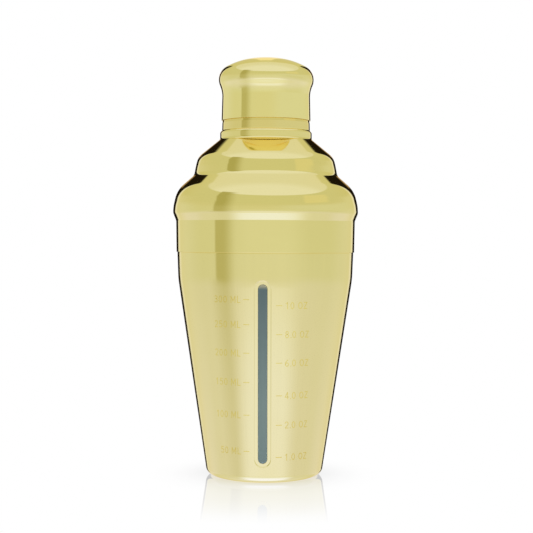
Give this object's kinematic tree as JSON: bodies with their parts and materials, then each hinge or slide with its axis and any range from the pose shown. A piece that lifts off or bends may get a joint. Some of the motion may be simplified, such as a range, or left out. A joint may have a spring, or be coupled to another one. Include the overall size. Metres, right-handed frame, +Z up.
{
  "type": "cocktail shaker",
  "caption": "Cobbler cocktail shaker: conical metal tumbler with a clear sight window and engraved volume marks, lift-off strainer lid with stepped shoulders, and domed cap",
  "frame": {"origin": "on the shaker's axis, at the plane it stands on", "axes": "+Z runs up the shaker's axis of revolution from base to cap; the sight window and the volume marks face -Y; +X is to the right of someone looking at the window"},
  "size_m": [0.0892, 0.0892, 0.2008],
  "materials": {
    "gold_plate": "polished stainless steel with a pale gold plating, satin along the tumbler",
    "clear_window": "clear moulded plastic, smoky against the dark inside",
    "silicone": "translucent white silicone",
    "bare_steel": "satin stainless steel"
  },
  "bodies": {
    "tumbler": {"cup": "gold_plate", "window_lens": "clear_window", "window_gasket": "silicone", "window_clamp_frame": "bare_steel"},
    "strainer": {"strainer_lid": "gold_plate"},
    "top_cap": {"cap": "gold_plate"}
  },
  "joints": [
    {"name": "strainer_lift", "type": "slide", "parent": "tumbler", "child": "strainer", "axis": [0, 0, 1], "range_m": [0, 0.06]},
    {"name": "cap_lift", "type": "slide", "parent": "strainer", "child": "top_cap", "axis": [0, 0, 1], "range_m": [0, 0.05]}
  ]
}
